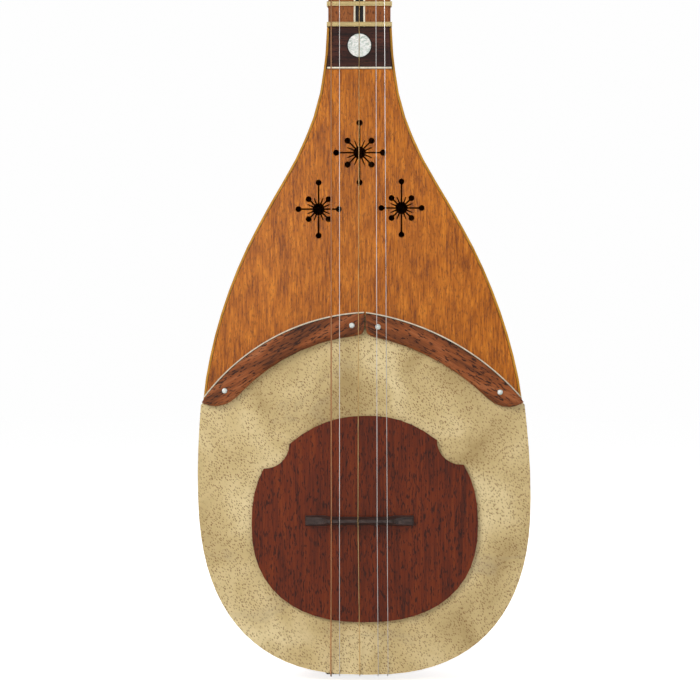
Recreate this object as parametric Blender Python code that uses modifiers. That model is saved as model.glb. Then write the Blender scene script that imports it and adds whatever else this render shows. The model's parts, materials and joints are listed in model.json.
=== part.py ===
"""A shurangiz: a long-necked plucked lute whose face is wood above and skin below.

The neck stands up along +Z and the face looks along -Y. The origin is on the face of the
fingerboard, at the playing edge of the nut, midway between the neck's two sides.
"""

import math

import bmesh
import bpy
from mathutils import Vector

MM = 0.001

# Clearances
GAP = 0.3 * MM                      # between two pieces that touch
FRET_CLEARANCE = 0.25 * MM          # between a tied fret and the neck it slides on
PIN_CLEARANCE = 0.2 * MM            # round a pin in its hole

# Scale and frets
SCALE_LENGTH = 680 * MM             # playing edge of the nut to the crest of the bridge
OCTAVE_CENTS = 1200
FRET_CENTS = (
    90, 140, 204, 294, 340, 408, 498, 610,
    702, 792, 840, 906, 996, 1040, 1110, 1200,
    1331, 1401.5,
)
FRET_BAND = 2.6 * MM                # width of the turns of gut, along the neck
FRET_THICKNESS = 0.65 * MM

# Neck
NECK_HALF_WIDTH = 19 * MM
NECK_DEPTH = 28.7 * MM              # behind the fingerboard
FINGERBOARD_THICKNESS = 3 * MM
CENTRE_STRIP_HALF_WIDTH = 2.4 * MM
INLAY_LINE_WIDTH = 1.1 * MM         # room for the pale line on each side of the centre strip
NUT_LENGTH = 5 * MM
NUT_CREST = 2 * MM                  # height of the nut in front of the fingerboard
NUT_ROUNDING = 0.6 * MM
NECK_TENON = 1 * MM                 # how far the neck runs on past the nut

# Body outline: the wooden outline seen from the front
BODY_LENGTH = 394 * MM
BODY_WIDEST = 280 * MM              # from the body's top down to its widest level
BODY_HALF_WIDTH = 100.3 * MM
HEEL_OVERHANG = 0.8 * MM            # the body's top stands out this far past the neck's sides
BRIDGE_TO_TAIL = 93 * MM
TAIL_POWER = 2.5                    # squareness of the tail's curve, where 2 is an ellipse
TAIL_DRIFT = 4 * MM                 # the body leans this far to the treble side by its tail
DRIFT_START = 61 * MM               # below the body's top
# The flank: (share of the way down to the widest level, share of the way out from the heel)
FLANK = (
    (0, 0), (0.07, 0.015), (0.176, 0.08), (0.281, 0.227), (0.386, 0.436), (0.49, 0.63),
    (0.595, 0.781), (0.7, 0.891), (0.804, 0.959), (1, 1),
)

# Bowl
BOWL_RATIO = 1.45                   # depth of the bowl for each unit of half width
RIB_COUNT = 7
RIB_THICKNESS = 3 * MM
RIB_FACETS = 3
HEEL_BLOCK_LENGTH = 45 * MM
TAIL_BLOCK_HALF_WIDTH = 34 * MM
TAIL_BLOCK_LENGTH = 14 * MM
BLOCK_CLEARANCE = 0.6 * MM          # round the heel block, inside the ribs

# Face
FACE_DROP = 1 * MM                  # the soundboard lies this far behind the fingerboard's face
BOARD_THICKNESS = 3 * MM
EDGE_STRIP_WIDTH = 1.3 * MM
PANEL_LENGTH = 24.1 * MM
PANEL_LINE = 1.3 * MM               # between the panel and the soundboard
PEARL_RADIUS = 7.3 * MM
PEARL_THICKNESS = 1.4 * MM
PEARL_DROP = 20.1 * MM - 8.9 * MM   # the pearl's centre below the body's top
SKIN_THICKNESS = 0.7 * MM
SKIN_SKIRT = 14 * MM                # how far the skin is drawn down over the bowl's side
SKIRT_GAP = 0.5 * MM                # between the bowl's side and the skin drawn down over it
SKIN_RIM_WIDTH = 8 * MM

# Arch: two rosewood strips over the joint of wood and skin
ARCH_PEAK = 174.9 * MM              # below the body's top
ARCH_FOOT = 227.8 * MM
ARCH_JOINT_SHIFT = 2.3 * MM         # the strips meet this far to the treble side of the middle
ARCH_JOINT_GAP = 0.45 * MM          # half of the gap between the strips
ARCH_RADIUS = {-1: 129 * MM, 1: 156 * MM}
ARCH_WIDTH = 13 * MM
ARCH_FOOT_WIDTH = 14.9 * MM
ARCH_FOOT_ROUND = 18.5 * MM         # length over which a strip's lower edge curves up at its foot
ARCH_JOINT_ROUND = 4 * MM
ARCH_THICKNESS = 4 * MM
ARCH_EDGE_THICKNESS = 0.9 * MM
ARCH_FLAT_SHARE = 0.7               # share of a strip's width that is flat, from its upper edge
ARCH_FOOT_PIN = 14.7 * MM           # from a strip's end, along it, to its pin
ARCH_JOINT_PIN = 8 * MM
ARCH_PIN_OFFSET = 6.6 * MM          # from the strip's upper edge
PIN_RADIUS = 1.6 * MM
PIN_STAND = 0.5 * MM
BRACE_WIDTH = 14 * MM
BRACE_DEPTH = 8 * MM

# Rosettes: (x, distance below the body's top, disc radius, upright reach, level reach,
# diagonal reach, reach of the plain rays, dot radius)
ROSETTES = (
    (0.1 * MM, 76.6 * MM, 3.8 * MM, 18.2 * MM, 14.3 * MM, 10.3 * MM, 8.2 * MM, 2 * MM),
    (-24.9 * MM, 111.1 * MM, 3.65 * MM, 16.2 * MM, 12.3 * MM, 8.6 * MM, 7.3 * MM, 1.9 * MM),
    (25.7 * MM, 110.4 * MM, 3.65 * MM, 16.2 * MM, 12.3 * MM, 8.6 * MM, 7.3 * MM, 1.9 * MM),
)
RAY_HALF_WIDTH = 0.5 * MM
RAYS = 16

# Bridge plate: the wooden plate on the skin under the bridge
PLATE_THICKNESS = 1.6 * MM
PLATE_HALF_WIDTH = 69 * MM
PLATE_DROP = 2.2 * MM               # its widest level below the bridge
PLATE_BELOW = 59.8 * MM             # from its widest level to its lower edge
PLATE_ABOVE = 66 * MM               # from its widest level to its upper edge
PLATE_FLANK_RISE = 63 * MM          # half height of the curve that its upper flanks follow
PLATE_POWER = 2.35
PLATE_NOTCH_RADIUS = 15 * MM
PLATE_NOTCHES = {-1: (61 * MM, 48.8 * MM), 1: (58.9 * MM, 51.2 * MM)}
PLATE_ROUNDING = 0.6 * MM

# Bridge
BRIDGE_HALF_LENGTH = 33 * MM
BRIDGE_FOOT_HALF_WIDTH = 3.15 * MM
BRIDGE_CREST_HALF_WIDTH = 0.9 * MM
BRIDGE_HEIGHT = 8.3 * MM
BRIDGE_CREST_HALF_LENGTH = 19.5 * MM
BRIDGE_PAD_HEIGHT = 3 * MM
BRIDGE_PAD_LENGTH = 6 * MM
BRIDGE_ARCH_HEIGHT = 2.4 * MM       # height of the hollow under its middle
BRIDGE_ARCH_HALF_LENGTH = 21 * MM

# Strings, bass to treble: (name, radius, step across the nut from the string before,
# x at the bridge, x at the tail, x on its peg, material)
BASS_MARGIN = 1.7 * MM              # from the neck's side to the bass string, at the nut
STRINGS = (
    ("string_bass", 0.4 * MM, 0 * MM, -17.1 * MM, -17.4 * MM, -3 * MM, "wound_bronze"),
    ("string_second", 0.2 * MM, 5.1 * MM, -12.1 * MM, -12.1 * MM, -4 * MM, "steel"),
    ("string_third", 0.25 * MM, 13 * MM, -0.9 * MM, 0.3 * MM, 0.5 * MM, "brass"),
    ("string_fourth", 0.2 * MM, 8.4 * MM, 10.7 * MM, 11.5 * MM, 4.5 * MM, "steel"),
    ("string_treble", 0.2 * MM, 4.2 * MM, 16.8 * MM, 17.5 * MM, 5 * MM, "steel"),
)
STRING_PEGS = (0, 2, 4, 3, 1)       # which peg, counted from the nut, winds each string

# Pegbox
PEGBOX_LENGTH = 144 * MM
PEGBOX_TOP_HALF_WIDTH = 15 * MM
PEGBOX_TOP_DEPTH = 22 * MM
PEGBOX_POWER = 3
SLOT_HALF_WIDTH = 12.5 * MM
SLOT_DEPTH = 16 * MM
SLOT_MARGIN = 8 * MM                # solid wood at each end of the slot
PEG_COUNT = 5
PEG_FIRST = 28 * MM                 # first peg above the pegbox's lower end
PEG_SPACING = 21 * MM
PEG_AXIS_DEPTH = 11 * MM            # behind the pegbox's front
PEG_TIP_RADIUS = 3.4 * MM
PEG_NECK_RADIUS = 4.4 * MM
PEG_TIP_STAND = 2 * MM              # how far the tip stands out of the far cheek
PEG_COLLAR_GAP = 1 * MM
PEG_HANDLE = (                      # (share of the handle's length, radius)
    (0, 4.4 * MM), (0.02, 6 * MM), (0.08, 6.4 * MM), (0.14, 5 * MM), (0.24, 4.8 * MM),
    (0.5, 7 * MM), (0.8, 9.6 * MM), (0.9, 9.4 * MM), (0.97, 6.5 * MM), (1, 2.5 * MM),
)
PEG_HANDLE_LENGTH = 46 * MM

# Tailpiece
TAILPIECE_HALF_WIDTH = 22 * MM
TAILPIECE_HEIGHT = 15 * MM
TAILPIECE_THICKNESS = 3.2 * MM
TAILPIECE_BELOW_SKIRT = 3 * MM
TAILPIECE_SLOT_DEPTH = 5 * MM
TAILPIECE_SLOT_CLEARANCE = 0.6 * MM

# Materials: base colour, roughness, metallic
FINISHES = {
    "mulberry": ((0.36, 0.15, 0.04), 0.35, 0),
    "soundboard_wood": ((0.52, 0.17, 0.02), 0.35, 0),
    "edge_wood": ((0.72, 0.32, 0.03), 0.35, 0),
    "lining_wood": ((0.55, 0.38, 0.2), 0.6, 0),
    "panel_rosewood": ((0.045, 0.013, 0.01), 0.4, 0),
    "arch_rosewood": ((0.24, 0.08, 0.03), 0.45, 0),
    "plate_wood": ((0.17, 0.035, 0.01), 0.4, 0),
    "bridge_wood": ((0.05, 0.03, 0.03), 0.45, 0),
    "neck_wood": ((0.1, 0.035, 0.015), 0.4, 0),
    "fingerboard_wood": ((0.3, 0.1, 0.025), 0.4, 0),
    "ebony": ((0.006, 0.005, 0.005), 0.3, 0),
    "peg_wood": ((0.07, 0.022, 0.012), 0.35, 0),
    "skin": ((0.6, 0.47, 0.27), 0.65, 0),
    "pearl": ((0.75, 0.78, 0.72), 0.2, 0),
    "bone": ((0.82, 0.75, 0.6), 0.4, 0),
    "gut": ((0.75, 0.58, 0.25), 0.5, 0),
    "steel": ((0.6, 0.58, 0.56), 0.3, 1),
    "brass": ((0.75, 0.5, 0.22), 0.3, 1),
    "wound_bronze": ((0.7, 0.36, 0.16), 0.35, 1),
}

# Levels and places that follow from the sizes above. Depths are along +Y from the fingerboard.
BODY_TOP = -(SCALE_LENGTH - (BODY_LENGTH - BRIDGE_TO_TAIL))
HEEL_HALF_WIDTH = NECK_HALF_WIDTH + HEEL_OVERHANG
BOARD_FRONT = FACE_DROP
BOARD_BACK = BOARD_FRONT + BOARD_THICKNESS
RIM = BOARD_BACK + GAP
SKIN_BACK = BOARD_FRONT - GAP
SKIN_FRONT = SKIN_BACK - SKIN_THICKNESS
PLATE_FRONT = SKIN_FRONT - GAP - PLATE_THICKNESS
BRIDGE_FEET = PLATE_FRONT - GAP
BRIDGE_CREST = BRIDGE_FEET - BRIDGE_HEIGHT
SKIN_STAND = SKIRT_GAP + SKIN_THICKNESS
NECK_FRONT = FINGERBOARD_THICKNESS + GAP
NECK_TOP = NUT_LENGTH + NECK_TENON
PEGBOX_BOTTOM = NECK_TOP + GAP
BOARD_INSET = EDGE_STRIP_WIDTH + GAP
TAIL_DEPTH = BODY_LENGTH - BODY_WIDEST
ARCH_JOINT_LEVEL = BODY_TOP - ARCH_PEAK
PEG_AXIS = NECK_FRONT + PEG_AXIS_DEPTH
HALF_TURN = math.pi
QUARTER_TURN = math.pi / 2


def clear_scene():
    """Empties the scene and makes the two collections."""
    for old in list(bpy.data.objects):
        bpy.data.objects.remove(old)
    made = []
    for name in ("shurangiz", "cutters"):
        collection = bpy.data.collections.new(name)
        bpy.context.scene.collection.children.link(collection)
        made.append(collection)
    return made


PARTS, CUTTERS = clear_scene()


def material(name):
    """The named finish as a Principled material."""
    found = bpy.data.materials.get(name)
    if found:
        return found
    colour, roughness, metallic = FINISHES[name]
    made = bpy.data.materials.new(name)
    made.use_nodes = True
    shader = made.node_tree.nodes["Principled BSDF"]
    shader.inputs["Base Color"].default_value = (*colour, 1)
    shader.inputs["Roughness"].default_value = roughness
    shader.inputs["Metallic"].default_value = metallic
    made.diffuse_color = (*colour, 1)
    return made


def place(name, data, finish, collection=PARTS):
    """Adds an object with this data; a part gets its finish, a cutter is kept out of sight."""
    made = bpy.data.objects.new(name, data)
    collection.objects.link(made)
    if finish:
        data.materials.append(material(finish))
    else:
        made.hide_render = True
        made.display_type = "WIRE"
    return made


def from_bmesh(name, shape, finish, collection=PARTS, sharp=math.radians(35)):
    """Turns a bmesh into an object with its faces out and its round parts smooth."""
    bmesh.ops.remove_doubles(shape, verts=shape.verts, dist=1e-7)
    bmesh.ops.recalc_face_normals(shape, faces=shape.faces)
    mesh = bpy.data.meshes.new(name)
    shape.to_mesh(mesh)
    shape.free()
    mesh.shade_smooth()
    mesh.set_sharp_from_angle(angle=sharp)
    return place(name, mesh, finish, collection)


def loft(name, sections, finish):
    """A solid through closed sections that have the same number of points."""
    shape = bmesh.new()
    rings = [[shape.verts.new(point) for point in section] for section in sections]
    for ring, after in zip(rings, rings[1:]):
        for index, vertex in enumerate(ring):
            beside = (index + 1) % len(ring)
            shape.faces.new((vertex, ring[beside], after[beside], after[index]))
    shape.faces.new(rings[0])
    shape.faces.new(rings[-1])
    return from_bmesh(name, shape, finish)


def slab(name, outer, inner, finish):
    """A curved panel between two grids of points, such as a stave."""
    shape = bmesh.new()
    skins = []
    for grid in (outer, inner):
        skins.append([[shape.verts.new(point) for point in row] for row in grid])
    rows = len(outer)
    columns = len(outer[0])
    for skin in skins:
        for row in range(rows - 1):
            for column in range(columns - 1):
                shape.faces.new((
                    skin[row][column],
                    skin[row][column + 1],
                    skin[row + 1][column + 1],
                    skin[row + 1][column],
                ))
    front, back = skins
    for row in range(rows - 1):
        for column in (0, columns - 1):
            shape.faces.new((
                front[row][column],
                front[row + 1][column],
                back[row + 1][column],
                back[row][column],
            ))
    for column in range(columns - 1):
        for row in (0, rows - 1):
            shape.faces.new((
                front[row][column],
                front[row][column + 1],
                back[row][column + 1],
                back[row][column],
            ))
    return from_bmesh(name, shape, finish)


def flat_curve(name, outlines, thickness, finish):
    """A flat outline, with any holes, as a filled 2D curve of this thickness."""
    data = bpy.data.curves.new(name, "CURVE")
    data.dimensions = "2D"
    data.fill_mode = "BOTH"
    data.extrude = thickness / 2
    for outline in outlines:
        spline = data.splines.new("POLY")
        spline.points.add(len(outline) - 1)
        for point, (across, up) in zip(spline.points, outline):
            point.co = (across, up, 0, 1)
        spline.use_cyclic_u = True
    return place(name, data, finish)


def face_plate(name, outlines, front, thickness, finish):
    """A flat piece of the face: outlines in (x, z), its front at this depth."""
    made = flat_curve(name, outlines, thickness, finish)
    made.location = (0, front + thickness / 2, 0)
    made.rotation_euler = (QUARTER_TURN, 0, 0)
    return made


def as_mesh(curve):
    """The same piece as a closed mesh object, which can be cut and bevelled."""
    bpy.context.view_layer.update()
    graph = bpy.context.evaluated_depsgraph_get()
    mesh = bpy.data.meshes.new_from_object(curve.evaluated_get(graph))
    shape = bmesh.new()
    shape.from_mesh(mesh)
    bmesh.ops.remove_doubles(shape, verts=shape.verts, dist=1e-6)
    shape.to_mesh(mesh)
    shape.free()
    name = curve.name
    matrix = curve.matrix_world.copy()
    bpy.data.objects.remove(curve)
    made = bpy.data.objects.new(name, mesh)
    PARTS.objects.link(made)
    made.matrix_world = matrix
    return made


def cut(target, cutter):
    """Takes the cutter out of the target."""
    boolean = target.modifiers.new(cutter.name, "BOOLEAN")
    boolean.operation = "DIFFERENCE"
    boolean.solver = "EXACT"
    boolean.object = cutter


def round_cutter(name, centre, axis, low_radius, high_radius, length, sides=16):
    """A round cutter about a point; the axis is X, Y or Z and the radii are at its two ends."""
    shape = bmesh.new()
    bmesh.ops.create_cone(
        shape, cap_ends=True, segments=sides, radius1=low_radius, radius2=high_radius, depth=length
    )
    made = from_bmesh(name, shape, None, CUTTERS)
    turns = {"X": (0, QUARTER_TURN, 0), "Y": (-QUARTER_TURN, 0, 0), "Z": (0, 0, 0)}
    made.rotation_euler = turns[axis]
    made.location = centre
    return made


def box_cutter(name, low, high):
    """A box cutter between two corners."""
    shape = bmesh.new()
    bmesh.ops.create_cube(shape, size=1)
    low = Vector(low)
    high = Vector(high)
    for vertex in shape.verts:
        vertex.co = (low + high) / 2 + vertex.co * (high - low)
    return from_bmesh(name, shape, None, CUTTERS)


def tube(name, points, radius, finish):
    """A wire through these points with filled caps."""
    data = bpy.data.curves.new(name, "CURVE")
    data.dimensions = "3D"
    data.bevel_depth = radius
    data.bevel_resolution = 1
    data.use_fill_caps = True
    spline = data.splines.new("POLY")
    spline.points.add(len(points) - 1)
    for point, place_at in zip(spline.points, points):
        point.co = (*place_at, 1)
    return place(name, data, finish)


def smooth_share(knots, share):
    """Reads a smooth curve through (share, value) knots, level at both ends."""
    def slope(index):
        if index in (0, len(knots) - 1):
            return 0
        (x0, y0), (x1, y1) = knots[index - 1], knots[index + 1]
        return (y1 - y0) / (x1 - x0)

    for index in range(len(knots) - 1):
        (x0, y0), (x1, y1) = knots[index], knots[index + 1]
        if share <= x1:
            break
    span = x1 - x0
    t = (share - x0) / span
    rise = (
        y0 * (1 + 2 * t) * (1 - t) ** 2
        + y1 * t * t * (3 - 2 * t)
        + slope(index) * span * t * (1 - t) ** 2
        - slope(index + 1) * span * t * t * (1 - t)
    )
    return rise


def half_width(drop):
    """Half width of the wooden outline at this drop below the body's top."""
    if drop <= BODY_WIDEST:
        share = smooth_share(FLANK, max(drop, 0) / BODY_WIDEST)
        return HEEL_HALF_WIDTH + share * (BODY_HALF_WIDTH - HEEL_HALF_WIDTH)
    share = min(1, (drop - BODY_WIDEST) / TAIL_DEPTH)
    return BODY_HALF_WIDTH * (1 - share ** TAIL_POWER) ** (1 / TAIL_POWER)


def middle(drop):
    """The x of the body's middle line at this drop."""
    t = min(1, max(0, (drop - DRIFT_START) / (BODY_LENGTH - DRIFT_START)))
    return TAIL_DRIFT * t * t * (3 - 2 * t)


def station(travel, depth=0):
    """(drop, half width) along the outline at this depth behind the rim.

    Travel runs from 0 at the body's top through 1 at its widest level to 2 at the tail's middle.
    """
    narrowing = max(depth, 0) / BOWL_RATIO
    if travel <= 1:
        drop = BODY_WIDEST * travel
        width = half_width(drop)
    else:
        power = 2 / TAIL_POWER
        last = math.acos(min(1, (narrowing / BODY_HALF_WIDTH) ** (1 / power)))
        angle = (travel - 1) * last
        drop = BODY_WIDEST + TAIL_DEPTH * math.sin(angle) ** power
        width = BODY_HALF_WIDTH * max(0, math.cos(angle)) ** power
    return drop, math.sqrt(max(0, width * width - narrowing * narrowing))


def rim_point(travel, side, inset=0, depth=0):
    """(x, z) of the outline on one side, moved inwards by the inset."""
    step = 1e-4
    drop0, half0 = station(max(0, travel - step), depth)
    drop1, half1 = station(min(2, travel + step), depth)
    along = Vector((half1 - half0, drop1 - drop0)).normalized()
    drop, half = station(travel, depth)
    half -= inset * along.y
    drop += inset * along.x
    return middle(drop) + side * half, BODY_TOP - drop


def travels(start, end, count):
    """Evenly spaced travel values."""
    return [start + (end - start) * index / (count - 1) for index in range(count)]


def section(level, width, depth, power=2, front=NECK_FRONT, centre=0, facets=12):
    """A D-shaped section: flat in front, round behind."""
    points = []
    for index in range(facets + 1):
        angle = HALF_TURN * index / facets
        across = abs(math.cos(angle)) ** (2 / power) * math.copysign(1, math.cos(angle))
        back = abs(math.sin(angle)) ** (2 / power)
        points.append((centre - width * across, front + depth * back, level))
    return points


def bowl_point(travel, angle, inset):
    """A point of the bowl: the angle runs from the bass rim, 0, round the back to half a turn."""
    step = 1e-4
    drop0, width0 = station(max(0, travel - step))
    drop1, width1 = station(min(2, travel + step))
    drop, width = station(travel)
    narrowing = (width1 - width0) / (drop1 - drop0)
    outward = Vector((-math.cos(angle), math.sin(angle) / BOWL_RATIO, narrowing)).normalized()
    surface = Vector((
        middle(drop) - width * math.cos(angle),
        RIM + width * BOWL_RATIO * math.sin(angle),
        BODY_TOP - drop,
    ))
    return surface - outward * inset


def tail_block_travel():
    """Travel at which the bowl is as wide as the tail block."""
    share = (TAIL_BLOCK_HALF_WIDTH / BODY_HALF_WIDTH) ** (TAIL_POWER / 2)
    return 1 + math.acos(share) / QUARTER_TURN


def joint_shift(travel, angle):
    """Half of the gap between two ribs, as an angle."""
    _, width = station(travel)
    reach = width * math.hypot(math.sin(angle), BOWL_RATIO * math.cos(angle))
    return GAP / 2 / reach


def make_ribs():
    """The bowl's staves, side by side from the bass rim round to the treble rim."""
    stops = travels(0, 0.96, 15) + travels(1.03, tail_block_travel(), 11)
    for rib in range(RIB_COUNT):
        outer = []
        inner = []
        for travel in stops:
            first = HALF_TURN * rib / RIB_COUNT
            last = HALF_TURN * (rib + 1) / RIB_COUNT
            if rib > 0:
                first += joint_shift(travel, first)
            if rib < RIB_COUNT - 1:
                last -= joint_shift(travel, last)
            angles = [first + (last - first) * facet / RIB_FACETS for facet in range(RIB_FACETS + 1)]
            outer.append([bowl_point(travel, angle, 0) for angle in angles])
            inner.append([bowl_point(travel, angle, RIB_THICKNESS) for angle in angles])
        slab(f"rib_{rib + 1}", outer, inner, "mulberry")


def make_blocks():
    """The heel block and the tail block, inside the ends of the bowl."""
    front = RIM + GAP
    trim = RIB_THICKNESS + BLOCK_CLEARANCE
    drops = [GAP + (HEEL_BLOCK_LENGTH - GAP) * share / 3 for share in range(4)]
    sections = []
    for drop in drops:
        width = half_width(drop)
        depth = width * BOWL_RATIO - trim - GAP
        sections.append(section(BODY_TOP - drop, width - trim, depth, 2, front, middle(drop)))
    loft("heel_block", sections, "lining_wood")

    share = (TAIL_BLOCK_HALF_WIDTH / BODY_HALF_WIDTH) ** TAIL_POWER
    edge_drop = BODY_WIDEST + TAIL_DEPTH * (1 - share) ** (1 / TAIL_POWER)
    plug = TAIL_BLOCK_HALF_WIDTH - 1.2 * MM
    cap = TAIL_BLOCK_HALF_WIDTH - 0.4 * MM
    widths = [(edge_drop - TAIL_BLOCK_LENGTH, plug), (edge_drop - RIB_THICKNESS, plug)]
    for width in (cap, cap * 0.8, cap * 0.55, cap * 0.25):
        share = (width / BODY_HALF_WIDTH) ** TAIL_POWER
        widths.append((BODY_WIDEST + TAIL_DEPTH * (1 - share) ** (1 / TAIL_POWER), width))
    sections = []
    for drop, width in widths:
        depth = width * BOWL_RATIO - GAP
        sections.append(section(BODY_TOP - drop, width, depth, 2, front, middle(drop)))
    loft("tail_block", sections, "lining_wood")


def arch_centre(side):
    """Centre of the circle that a strip's upper edge follows."""
    peak = Vector((middle(ARCH_PEAK) + ARCH_JOINT_SHIFT, ARCH_JOINT_LEVEL))
    foot = Vector(rim_point(ARCH_FOOT / BODY_WIDEST, side))
    chord = peak - foot
    reach = math.sqrt(ARCH_RADIUS[side] ** 2 - chord.length_squared / 4)
    down = Vector((chord.y, -chord.x)) * -side
    return (peak + foot) / 2 + down.normalized() * reach


def arch_point(side, offset, angle):
    """(x, z) at this distance inside the strip's upper edge."""
    centre = arch_centre(side)
    reach = ARCH_RADIUS[side] - offset
    return centre.x + reach * math.cos(angle), centre.y + reach * math.sin(angle)


def arch_angles(side, offset, inset, joint_gap):
    """The angles at which an arc meets the joint and the outline moved in by the inset."""
    centre = arch_centre(side)
    joint = middle(ARCH_PEAK) + ARCH_JOINT_SHIFT + side * joint_gap
    start = math.acos((joint - centre.x) / (ARCH_RADIUS[side] - offset))
    near = start
    far = start - side * math.radians(80)
    for _ in range(40):
        tried = (near + far) / 2
        x, z = arch_point(side, offset, tried)
        drop = BODY_TOP - z
        step = 1 * MM
        lean = (half_width(drop + step) - half_width(drop - step)) / (2 * step)
        if abs(x - middle(drop)) < half_width(drop) - inset * math.hypot(1, lean):
            near = tried
        else:
            far = tried
    return start, near


def arch_arc(side, offset, inset, count, joint_gap=0):
    """Points of an arc from the joint out to the outline."""
    start, end = arch_angles(side, offset, inset, joint_gap)
    return [
        arch_point(side, offset, start + (end - start) * index / (count - 1))
        for index in range(count)
    ]


def rim_run(side, inset, start_drop, end_drop, count):
    """Points down one side of the upper body."""
    stops = travels(start_drop / BODY_WIDEST, end_drop / BODY_WIDEST, count)
    return [rim_point(travel, side, inset) for travel in stops]


def rosette(x, drop, disc, upright, level, diagonal, plain, dot):
    """The outline of one cut-out star: a disc with rays, half of them ending in dots."""
    reaches = (level, plain, diagonal, plain, upright, plain, diagonal, plain) * 2
    points = []
    for ray, reach in enumerate(reaches):
        angle = 2 * math.pi * ray / RAYS
        ahead = Vector((math.cos(angle), math.sin(angle)))
        aside = Vector((-ahead.y, ahead.x))
        root = math.sqrt(disc ** 2 - RAY_HALF_WIDTH ** 2)
        points.append(ahead * root - aside * RAY_HALF_WIDTH)
        if reach == plain:
            points.append(ahead * reach - aside * RAY_HALF_WIDTH * 0.6)
            points.append(ahead * reach + aside * RAY_HALF_WIDTH * 0.6)
        else:
            opening = math.asin(RAY_HALF_WIDTH / dot)
            for corner in range(9):
                turn = -HALF_TURN + opening + (2 * HALF_TURN - 2 * opening) * corner / 8
                points.append(
                    ahead * (reach + dot * math.cos(turn)) + aside * dot * math.sin(turn)
                )
        points.append(ahead * root + aside * RAY_HALF_WIDTH)
    return [(x + point.x, BODY_TOP - drop + point.y) for point in points]


def make_soundboard():
    """The upper, wooden part of the face, with its three rosettes cut through."""
    top = PANEL_LENGTH + PANEL_LINE
    ends = {}
    for side in (-1, 1):
        arc = arch_arc(side, ARCH_WIDTH / 2, BOARD_INSET, 13)
        ends[side] = (arc, BODY_TOP - arc[-1][1])
    left, left_drop = ends[-1]
    right, right_drop = ends[1]
    outline = rim_run(-1, BOARD_INSET, top, left_drop, 16)[:-1]
    outline += left[::-1][:-1] + right
    outline += rim_run(1, BOARD_INSET, top, right_drop, 16)[::-1][1:]
    stars = [rosette(*sizes) for sizes in ROSETTES]
    face_plate("soundboard", [outline] + stars, BOARD_FRONT, BOARD_THICKNESS, "soundboard_wood")


def make_edge_strips():
    """The pale strip let in along each side of the panel and the soundboard."""
    for side, name in ((-1, "edge_strip_bass"), (1, "edge_strip_treble")):
        outer = rim_run(side, 0, GAP, ARCH_FOOT, 18)
        inner = rim_run(side, EDGE_STRIP_WIDTH, GAP, ARCH_FOOT, 18)
        face_plate(name, [outer + inner[::-1]], BOARD_FRONT, BOARD_THICKNESS, "edge_wood")


def make_panel():
    """The dark panel at the heel, with a round pocket for the pearl."""
    left = rim_run(-1, BOARD_INSET, GAP, PANEL_LENGTH, 4)
    right = rim_run(1, BOARD_INSET, GAP, PANEL_LENGTH, 4)
    panel = as_mesh(face_plate("heel_panel", [left + right[::-1]], 0, BOARD_BACK, "panel_rosewood"))
    level = BODY_TOP - PEARL_DROP
    pocket = round_cutter(
        "pearl_pocket", (0, 0, level), "Y", PEARL_RADIUS + GAP, PEARL_RADIUS + GAP,
        2 * (PEARL_THICKNESS + GAP), 32,
    )
    cut(panel, pocket)
    shape = bmesh.new()
    bmesh.ops.create_cone(
        shape, cap_ends=True, segments=32, radius1=PEARL_RADIUS, radius2=PEARL_RADIUS,
        depth=PEARL_THICKNESS,
    )
    pearl = from_bmesh("pearl_dot", shape, "pearl")
    pearl.rotation_euler = (QUARTER_TURN, 0, 0)
    pearl.location = (0, PEARL_THICKNESS / 2, level)


def make_skin():
    """The skin: flat over the lower face and drawn down over the bowl's sides."""
    start = ARCH_FOOT / BODY_WIDEST
    stops = travels(start, 0.97, 4) + travels(1.02, 1.94, 19)
    upper = {side: arch_arc(side, 2 * GAP, -SKIN_STAND, 10) for side in (-1, 1)}
    starts = {side: (BODY_TOP - arc[-1][1]) / BODY_WIDEST for side, arc in upper.items()}
    shape = bmesh.new()
    levels = [(0, SKIN_FRONT), (0, RIM), (SKIN_SKIRT / 2, None), (SKIN_SKIRT, None)]
    rows = []
    for depth, y in levels:
        row = []
        for side, order in ((-1, 1), (1, -1)):
            travel_list = [starts[side]] + stops[1:]
            run = [rim_point(travel, side, -SKIN_STAND, depth) for travel in travel_list]
            if side == -1:
                run.append(rim_point(2, side, -SKIN_STAND, depth))
            row += run[::order]
        if y is None:
            y = RIM + depth
        rows.append([shape.verts.new((x, y, z)) for x, z in row])
    for row, after in zip(rows, rows[1:]):
        for index in range(len(row) - 1):
            shape.faces.new((row[index], row[index + 1], after[index + 1], after[index]))
    bridge_line = upper[1][::-1][1:-1] + upper[-1][:-1]
    crown = [shape.verts.new((x, SKIN_FRONT, z)) for x, z in bridge_line]
    shape.faces.new(rows[0] + crown)
    skin = from_bmesh("skin", shape, "skin")
    solidify = skin.modifiers.new("thickness", "SOLIDIFY")
    solidify.thickness = SKIN_THICKNESS
    solidify.offset = -1
    solidify.use_even_offset = True


def make_skin_rim():
    """The lining under the edge of the skin, round the lower body."""
    left, right = (arch_arc(side, ARCH_WIDTH / 2, BOARD_INSET, 3) for side in (-1, 1))
    outer = []
    inner = []
    for side, arc in ((-1, left), (1, right)):
        start = (BODY_TOP - arc[-1][1] + 2 * GAP + 1 * MM) / BODY_WIDEST
        stops = travels(start, 1, 4) + travels(1.1, 1.9, 9)
        outer.append([rim_point(travel, side) for travel in stops])
        inner.append([rim_point(travel, side, SKIN_RIM_WIDTH) for travel in stops])
    outline = outer[0] + [rim_point(2, -1)] + outer[1][::-1]
    outline += inner[1] + [rim_point(2, -1, SKIN_RIM_WIDTH)] + inner[0][::-1]
    face_plate("skin_rim", [outline], BOARD_FRONT, BOARD_THICKNESS, "lining_wood")


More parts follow.
